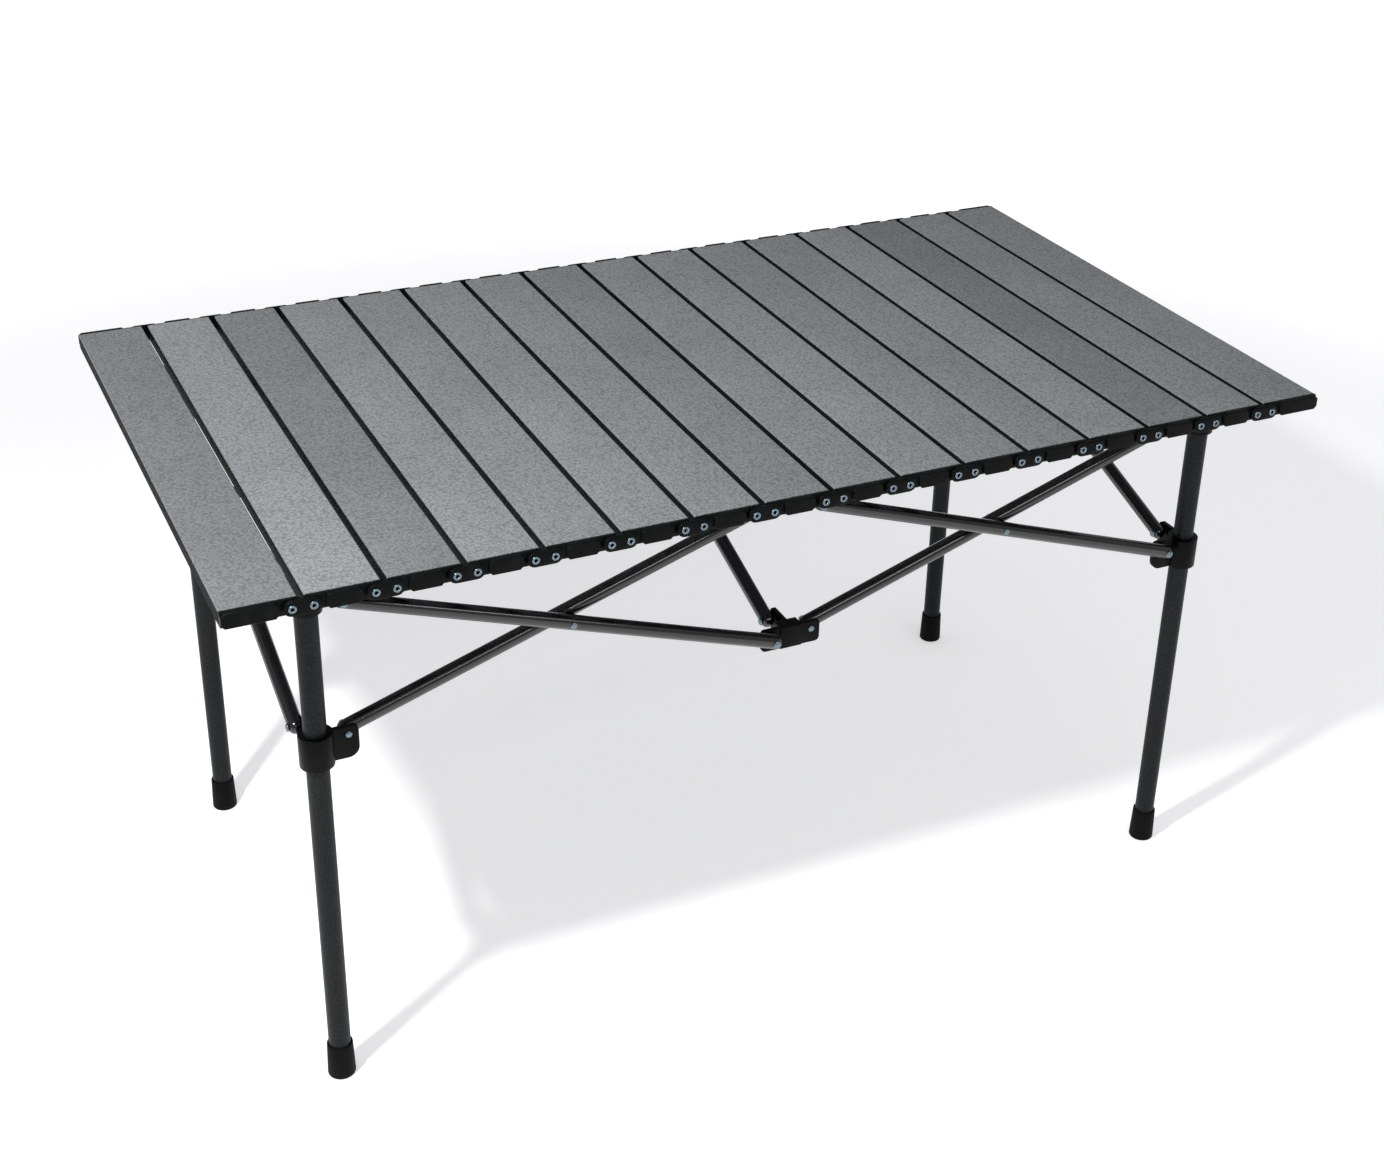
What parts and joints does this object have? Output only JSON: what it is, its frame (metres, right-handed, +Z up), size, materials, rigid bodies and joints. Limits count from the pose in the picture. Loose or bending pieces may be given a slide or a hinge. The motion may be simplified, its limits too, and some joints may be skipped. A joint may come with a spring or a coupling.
{
  "type": "folding picnic table",
  "caption": "Low folding table: a roll-up top of steel slats joined by riveted links, on a scissor-braced tube frame with sliding collars and rubber feet.",
  "frame": {"origin": "on the ground under the middle of the table", "axes": "+X along the length of the tabletop, -Y towards the front long side, +Z up"},
  "size_m": [0.95, 0.5382, 0.488],
  "materials": {
    "slat_steel": "textured grey powder coat",
    "link_plastic": "moulded black nylon",
    "cap_plastic": "moulded black nylon",
    "leg_steel": "hammered charcoal powder coat",
    "brace_steel": "gloss black paint",
    "joint_plastic": "moulded black plastic",
    "foot_rubber": "matte black rubber",
    "rivet_zinc": "bright zinc plate"
  },
  "bodies": {
    "slat_01": {"slat_01": "slat_steel"},
    "slat_02": {"slat_02": "slat_steel"},
    "slat_03": {"slat_03": "slat_steel"},
    "slat_04": {"slat_04": "slat_steel"},
    "slat_05": {"slat_05": "slat_steel"},
    "slat_06": {"slat_06": "slat_steel"},
    "slat_07": {"slat_07": "slat_steel"},
    "slat_08": {"slat_08": "slat_steel"},
    "slat_09": {"slat_09": "slat_steel"},
    "slat_10": {"slat_10": "slat_steel"},
    "slat_11": {"slat_11": "slat_steel"},
    "slat_12": {"slat_12": "slat_steel"},
    "slat_13": {"slat_13": "slat_steel"},
    "slat_14": {"slat_14": "slat_steel"},
    "slat_15": {"slat_15": "slat_steel"},
    "slat_16": {"slat_16": "slat_steel"},
    "link_01": {"link_01": "link_plastic"},
    "link_02": {"link_02": "link_plastic"},
    "link_03": {"link_03": "link_plastic"},
    "link_04": {"link_04": "link_plastic"},
    "link_05": {"link_05": "link_plastic"},
    "link_06": {"link_06": "link_plastic"},
    "link_07": {"link_07": "link_plastic"},
    "link_08": {"link_08": "link_plastic"},
    "link_09": {"link_09": "link_plastic"},
    "link_10": {"link_10": "link_plastic"},
    "link_11": {"link_11": "link_plastic"},
    "link_12": {"link_12": "link_plastic"},
    "link_13": {"link_13": "link_plastic"},
    "link_14": {"link_14": "link_plastic"},
    "link_15": {"link_15": "link_plastic"},
    "leg_front_left": {"leg_front_left": "leg_steel"},
    "leg_front_right": {"leg_front_right": "leg_steel"},
    "leg_back_right": {"leg_back_right": "leg_steel"},
    "leg_back_left": {"leg_back_left": "leg_steel"},
    "slider_front_left": {"slider_front_left": "joint_plastic"},
    "slider_front_right": {"slider_front_right": "joint_plastic"},
    "slider_back_right": {"slider_back_right": "joint_plastic"},
    "slider_back_left": {"slider_back_left": "joint_plastic"},
    "brace_front_left_outer": {"brace_front_left_outer": "brace_steel"},
    "brace_front_left_inner": {"brace_front_left_inner": "brace_steel"},
    "brace_front_right_outer": {"brace_front_right_outer": "brace_steel"},
    "brace_front_right_inner": {"brace_front_right_inner": "brace_steel"},
    "brace_back_right_outer": {"brace_back_right_outer": "brace_steel"},
    "brace_back_right_inner": {"brace_back_right_inner": "brace_steel"},
    "brace_back_left_outer": {"brace_back_left_outer": "brace_steel"},
    "brace_back_left_inner": {"brace_back_left_inner": "brace_steel"},
    "brace_left_outer": {"brace_left_outer": "brace_steel"},
    "brace_left_inner": {"brace_left_inner": "brace_steel"},
    "brace_middle_outer": {"brace_middle_outer": "brace_steel"},
    "brace_middle_inner": {"brace_middle_inner": "brace_steel"},
    "brace_right_outer": {"brace_right_outer": "brace_steel"},
    "brace_right_inner": {"brace_right_inner": "brace_steel"},
    "hub_top_front": {"hub_top_front": "joint_plastic"},
    "hub_top_back": {"hub_top_back": "joint_plastic"},
    "hub_low_front": {"hub_low_front": "joint_plastic"},
    "hub_low_back": {"hub_low_back": "joint_plastic"}
  },
  "joints": [
    {"name": "frame_fold", "type": "hinge", "parent": "hub_top_front", "child": "brace_front_left_inner", "pos_m": [-0.019, -0.204, 0.448], "axis": [0, -1, 0], "range_deg": [0, 60]},
    {"name": "slide_front_left", "type": "hinge", "parent": "brace_front_left_inner", "child": "slider_front_left", "pos_m": [-0.377, -0.204, 0.327], "axis": [0, -1, 0], "range_deg": [-60.12, 0]},
    {"name": "cross_front_left", "type": "hinge", "parent": "brace_front_left_inner", "child": "brace_front_left_outer", "pos_m": [-0.198, -0.204, 0.3875], "axis": [0, -1, 0], "range_deg": [-120.24, 0]},
    {"name": "stand_front_left", "type": "hinge", "parent": "brace_front_left_outer", "child": "leg_front_left", "pos_m": [-0.377, -0.204, 0.448], "axis": [0, -1, 0], "range_deg": [0, 60.12]},
    {"name": "drop_hub_low_front", "type": "hinge", "parent": "brace_front_left_outer", "child": "hub_low_front", "pos_m": [-0.019, -0.204, 0.327], "axis": [0, -1, 0], "range_deg": [0, 60.12]},
    {"name": "fold_front_right_outer", "type": "hinge", "parent": "hub_top_front", "child": "brace_front_right_outer", "pos_m": [0.019, -0.204, 0.448], "axis": [0, 1, 0], "range_deg": [0, 60.12]},
    {"name": "slide_front_right", "type": "hinge", "parent": "brace_front_right_outer", "child": "slider_front_right", "pos_m": [0.377, -0.204, 0.327], "axis": [0, 1, 0], "range_deg": [-60.12, 0]},
    {"name": "cross_front_right", "type": "hinge", "parent": "brace_front_right_outer", "child": "brace_front_right_inner", "pos_m": [0.198, -0.204, 0.3875], "axis": [0, 1, 0], "range_deg": [-120.24, 0]},
    {"name": "stand_front_right", "type": "hinge", "parent": "brace_front_right_inner", "child": "leg_front_right", "pos_m": [0.377, -0.204, 0.448], "axis": [0, 1, 0], "range_deg": [0, 60.12]},
    {"name": "fold_middle_inner", "type": "hinge", "parent": "hub_top_front", "child": "brace_middle_inner", "pos_m": [0, -0.179, 0.448], "axis": [-1, 0, 0], "range_deg": [0, 60.12]},
    {"name": "drop_hub_low_back", "type": "hinge", "parent": "brace_middle_inner", "child": "hub_low_back", "pos_m": [0, 0.179, 0.327], "axis": [-1, 0, 0], "range_deg": [-60.12, 0]},
    {"name": "cross_middle", "type": "hinge", "parent": "brace_middle_inner", "child": "brace_middle_outer", "pos_m": [0, 0, 0.3875], "axis": [-1, 0, 0], "range_deg": [-120.24, 0]},
    {"name": "stand_hub_top_back", "type": "hinge", "parent": "brace_middle_outer", "child": "hub_top_back", "pos_m": [0, 0.179, 0.448], "axis": [-1, 0, 0], "range_deg": [0, 60.12]},
    {"name": "fold_back_right_inner", "type": "hinge", "parent": "hub_top_back", "child": "brace_back_right_inner", "pos_m": [0.019, 0.204, 0.448], "axis": [0, 1, 0], "range_deg": [0, 60.12]},
    {"name": "slide_back_right", "type": "hinge", "parent": "brace_back_right_inner", "child": "slider_back_right", "pos_m": [0.377, 0.204, 0.327], "axis": [0, 1, 0], "range_deg": [-60.12, 0]},
    {"name": "cross_back_right", "type": "hinge", "parent": "brace_back_right_inner", "child": "brace_back_right_outer", "pos_m": [0.198, 0.204, 0.3875], "axis": [0, 1, 0], "range_deg": [-120.24, 0]},
    {"name": "stand_back_right", "type": "hinge", "parent": "brace_back_right_outer", "child": "leg_back_right", "pos_m": [0.377, 0.204, 0.448], "axis": [0, 1, 0], "range_deg": [0, 60.12]},
    {"name": "fold_back_left_outer", "type": "hinge", "parent": "hub_top_back", "child": "brace_back_left_outer", "pos_m": [-0.019, 0.204, 0.448], "axis": [0, -1, 0], "range_deg": [0, 60.12]},
    {"name": "slide_back_left", "type": "hinge", "parent": "brace_back_left_outer", "child": "slider_back_left", "pos_m": [-0.377, 0.204, 0.327], "axis": [0, -1, 0], "range_deg": [-60.12, 0]},
    {"name": "cross_back_left", "type": "hinge", "parent": "brace_back_left_outer", "child": "brace_back_left_inner", "pos_m": [-0.198, 0.204, 0.3875], "axis": [0, -1, 0], "range_deg": [-120.24, 0]},
    {"name": "stand_back_left", "type": "hinge", "parent": "brace_back_left_inner", "child": "leg_back_left", "pos_m": [-0.377, 0.204, 0.448], "axis": [0, -1, 0], "range_deg": [0, 60.12]},
    {"name": "fold_left_inner", "type": "hinge", "parent": "leg_front_left", "child": "brace_left_inner", "pos_m": [-0.402, -0.179, 0.448], "axis": [-1, 0, 0], "range_deg": [0, 60.12]},
    {"name": "cross_left", "type": "hinge", "parent": "brace_left_inner", "child": "brace_left_outer", "pos_m": [-0.402, 0, 0.3875], "axis": [-1, 0, 0], "range_deg": [-120.24, 0]},
    {"name": "fold_right_outer", "type": "hinge", "parent": "leg_front_right", "child": "brace_right_outer", "pos_m": [0.402, -0.179, 0.448], "axis": [-1, 0, 0], "range_deg": [0, 60.12]},
    {"name": "cross_right", "type": "hinge", "parent": "brace_right_outer", "child": "brace_right_inner", "pos_m": [0.402, 0, 0.3875], "axis": [-1, 0, 0], "range_deg": [-120.24, 0]},
    {"name": "top_lift", "type": "slide", "parent": "hub_top_front", "child": "slat_08", "axis": [0, 0, 1], "range_m": [0, 0.25]},
    {"name": "top_roll", "type": "hinge", "parent": "slat_08", "child": "link_08", "pos_m": [-0.00765, 0, 0.481], "axis": [0, -1, 0], "range_deg": [0, 17.77]},
    {"name": "roll_08_b", "type": "hinge", "parent": "link_08", "child": "slat_09", "pos_m": [0.00765, 0, 0.481], "axis": [0, -1, 0], "range_deg": [0, 17.8]},
    {"name": "roll_09_a", "type": "hinge", "parent": "slat_09", "child": "link_09", "pos_m": [0.05204, 0, 0.481], "axis": [0, -1, 0], "range_deg": [0, 18.16]},
    {"name": "roll_09_b", "type": "hinge", "parent": "link_09", "child": "slat_10", "pos_m": [0.06734, 0, 0.481], "axis": [0, -1, 0], "range_deg": [0, 18.16]},
    {"name": "roll_10_a", "type": "hinge", "parent": "slat_10", "child": "link_10", "pos_m": [0.11173, 0, 0.481], "axis": [0, -1, 0], "range_deg": [0, 18.54]},
    {"name": "roll_10_b", "type": "hinge", "parent": "link_10", "child": "slat_11", "pos_m": [0.12702, 0, 0.481], "axis": [0, -1, 0], "range_deg": [0, 18.54]},
    {"name": "roll_11_a", "type": "hinge", "parent": "slat_11", "child": "link_11", "pos_m": [0.17141, 0, 0.481], "axis": [0, -1, 0], "range_deg": [0, 18.95]},
    {"name": "roll_11_b", "type": "hinge", "parent": "link_11", "child": "slat_12", "pos_m": [0.18671, 0, 0.481], "axis": [0, -1, 0], "range_deg": [0, 18.95]},
    {"name": "roll_12_a", "type": "hinge", "parent": "slat_12", "child": "link_12", "pos_m": [0.2311, 0, 0.481], "axis": [0, -1, 0], "range_deg": [0, 19.38]},
    {"name": "roll_12_b", "type": "hinge", "parent": "link_12", "child": "slat_13", "pos_m": [0.2464, 0, 0.481], "axis": [0, -1, 0], "range_deg": [0, 19.38]},
    {"name": "roll_13_a", "type": "hinge", "parent": "slat_13", "child": "link_13", "pos_m": [0.29079, 0, 0.481], "axis": [0, -1, 0], "range_deg": [0, 19.85]},
    {"name": "roll_13_b", "type": "hinge", "parent": "link_13", "child": "slat_14", "pos_m": [0.30609, 0, 0.481], "axis": [0, -1, 0], "range_deg": [0, 19.85]},
    {"name": "roll_14_a", "type": "hinge", "parent": "slat_14", "child": "link_14", "pos_m": [0.35047, 0, 0.481], "axis": [0, -1, 0], "range_deg": [0, 20.35]},
    {"name": "roll_14_b", "type": "hinge", "parent": "link_14", "child": "slat_15", "pos_m": [0.36578, 0, 0.481], "axis": [0, -1, 0], "range_deg": [0, 20.35]},
    {"name": "roll_15_a", "type": "hinge", "parent": "slat_15", "child": "link_15", "pos_m": [0.41016, 0, 0.481], "axis": [0, -1, 0], "range_deg": [0, 20.89]},
    {"name": "roll_15_b", "type": "hinge", "parent": "link_15", "child": "slat_16", "pos_m": [0.42546, 0, 0.481], "axis": [0, -1, 0], "range_deg": [0, 20.89]},
    {"name": "roll_07_a", "type": "hinge", "parent": "slat_08", "child": "link_07", "pos_m": [-0.05204, 0, 0.481], "axis": [0, 1, 0], "range_deg": [0, 17.47]},
    {"name": "roll_07_b", "type": "hinge", "parent": "link_07", "child": "slat_07", "pos_m": [-0.06734, 0, 0.481], "axis": [0, 1, 0], "range_deg": [0, 17.47]},
    {"name": "roll_06_a", "type": "hinge", "parent": "slat_07", "child": "link_06", "pos_m": [-0.11173, 0, 0.481], "axis": [0, 1, 0], "range_deg": [0, 17.15]},
    {"name": "roll_06_b", "type": "hinge", "parent": "link_06", "child": "slat_06", "pos_m": [-0.12702, 0, 0.481], "axis": [0, 1, 0], "range_deg": [0, 17.15]},
    {"name": "roll_05_a", "type": "hinge", "parent": "slat_06", "child": "link_05", "pos_m": [-0.17141, 0, 0.481], "axis": [0, 1, 0], "range_deg": [0, 16.85]},
    {"name": "roll_05_b", "type": "hinge", "parent": "link_05", "child": "slat_05", "pos_m": [-0.18671, 0, 0.481], "axis": [0, 1, 0], "range_deg": [0, 16.85]},
    {"name": "roll_04_a", "type": "hinge", "parent": "slat_05", "child": "link_04", "pos_m": [-0.2311, 0, 0.481], "axis": [0, 1, 0], "range_deg": [0, 16.56]},
    {"name": "roll_04_b", "type": "hinge", "parent": "link_04", "child": "slat_04", "pos_m": [-0.2464, 0, 0.481], "axis": [0, 1, 0], "range_deg": [0, 16.56]},
    {"name": "roll_03_a", "type": "hinge", "parent": "slat_04", "child": "link_03", "pos_m": [-0.29079, 0, 0.481], "axis": [0, 1, 0], "range_deg": [0, 16.29]},
    {"name": "roll_03_b", "type": "hinge", "parent": "link_03", "child": "slat_03", "pos_m": [-0.30609, 0, 0.481], "axis": [0, 1, 0], "range_deg": [0, 16.29]},
    {"name": "roll_02_a", "type": "hinge", "parent": "slat_03", "child": "link_02", "pos_m": [-0.35047, 0, 0.481], "axis": [0, 1, 0], "range_deg": [0, 16.03]},
    {"name": "roll_02_b", "type": "hinge", "parent": "link_02", "child": "slat_02", "pos_m": [-0.36578, 0, 0.481], "axis": [0, 1, 0], "range_deg": [0, 16.03]},
    {"name": "roll_01_a", "type": "hinge", "parent": "slat_02", "child": "link_01", "pos_m": [-0.41016, 0, 0.481], "axis": [0, 1, 0], "range_deg": [0, 15.78]},
    {"name": "roll_01_b", "type": "hinge", "parent": "link_01", "child": "slat_01", "pos_m": [-0.42546, 0, 0.481], "axis": [0, 1, 0], "range_deg": [0, 15.78]}
  ],
  "couplings": [
    {"joint": "slide_front_left", "follows": "frame_fold", "ratio": -1},
    {"joint": "cross_front_left", "follows": "frame_fold", "ratio": -2},
    {"joint": "stand_front_left", "follows": "frame_fold", "ratio": 1},
    {"joint": "drop_hub_low_front", "follows": "frame_fold", "ratio": 1},
    {"joint": "fold_front_right_outer", "follows": "frame_fold", "ratio": 1},
    {"joint": "slide_front_right", "follows": "frame_fold", "ratio": -1},
    {"joint": "cross_front_right", "follows": "frame_fold", "ratio": -2},
    {"joint": "stand_front_right", "follows": "frame_fold", "ratio": 1},
    {"joint": "fold_middle_inner", "follows": "frame_fold", "ratio": 1},
    {"joint": "drop_hub_low_back", "follows": "frame_fold", "ratio": -1},
    {"joint": "cross_middle", "follows": "frame_fold", "ratio": -2},
    {"joint": "stand_hub_top_back", "follows": "frame_fold", "ratio": 1},
    {"joint": "fold_back_right_inner", "follows": "frame_fold", "ratio": 1},
    {"joint": "slide_back_right", "follows": "frame_fold", "ratio": -1},
    {"joint": "cross_back_right", "follows": "frame_fold", "ratio": -2},
    {"joint": "stand_back_right", "follows": "frame_fold", "ratio": 1},
    {"joint": "fold_back_left_outer", "follows": "frame_fold", "ratio": 1},
    {"joint": "slide_back_left", "follows": "frame_fold", "ratio": -1},
    {"joint": "cross_back_left", "follows": "frame_fold", "ratio": -2},
    {"joint": "stand_back_left", "follows": "frame_fold", "ratio": 1},
    {"joint": "fold_left_inner", "follows": "frame_fold", "ratio": 1},
    {"joint": "cross_left", "follows": "frame_fold", "ratio": -2},
    {"joint": "fold_right_outer", "follows": "frame_fold", "ratio": 1},
    {"joint": "cross_right", "follows": "frame_fold", "ratio": -2},
    {"joint": "roll_08_b", "follows": "top_roll", "ratio": 1},
    {"joint": "roll_09_a", "follows": "top_roll", "ratio": 1.0201},
    {"joint": "roll_09_b", "follows": "top_roll", "ratio": 1.0201},
    {"joint": "roll_10_a", "follows": "top_roll", "ratio": 1.0415},
    {"joint": "roll_10_b", "follows": "top_roll", "ratio": 1.0415},
    {"joint": "roll_11_a", "follows": "top_roll", "ratio": 1.0643},
    {"joint": "roll_11_b", "follows": "top_roll", "ratio": 1.0643},
    {"joint": "roll_12_a", "follows": "top_roll", "ratio": 1.0887},
    {"joint": "roll_12_b", "follows": "top_roll", "ratio": 1.0887},
    {"joint": "roll_13_a", "follows": "top_roll", "ratio": 1.1149},
    {"joint": "roll_13_b", "follows": "top_roll", "ratio": 1.1149},
    {"joint": "roll_14_a", "follows": "top_roll", "ratio": 1.1431},
    {"joint": "roll_14_b", "follows": "top_roll", "ratio": 1.1431},
    {"joint": "roll_15_a", "follows": "top_roll", "ratio": 1.1735},
    {"joint": "roll_15_b", "follows": "top_roll", "ratio": 1.1735},
    {"joint": "roll_07_a", "follows": "top_roll", "ratio": 0.98103},
    {"joint": "roll_07_b", "follows": "top_roll", "ratio": 0.98103},
    {"joint": "roll_06_a", "follows": "top_roll", "ratio": 0.9631},
    {"joint": "roll_06_b", "follows": "top_roll", "ratio": 0.9631},
    {"joint": "roll_05_a", "follows": "top_roll", "ratio": 0.94613},
    {"joint": "roll_05_b", "follows": "top_roll", "ratio": 0.94613},
    {"joint": "roll_04_a", "follows": "top_roll", "ratio": 0.93003},
    {"joint": "roll_04_b", "follows": "top_roll", "ratio": 0.93003},
    {"joint": "roll_03_a", "follows": "top_roll", "ratio": 0.91473},
    {"joint": "roll_03_b", "follows": "top_roll", "ratio": 0.91473},
    {"joint": "roll_02_a", "follows": "top_roll", "ratio": 0.90017},
    {"joint": "roll_02_b", "follows": "top_roll", "ratio": 0.90017},
    {"joint": "roll_01_a", "follows": "top_roll", "ratio": 0.88628},
    {"joint": "roll_01_b", "follows": "top_roll", "ratio": 0.88628}
  ]
}
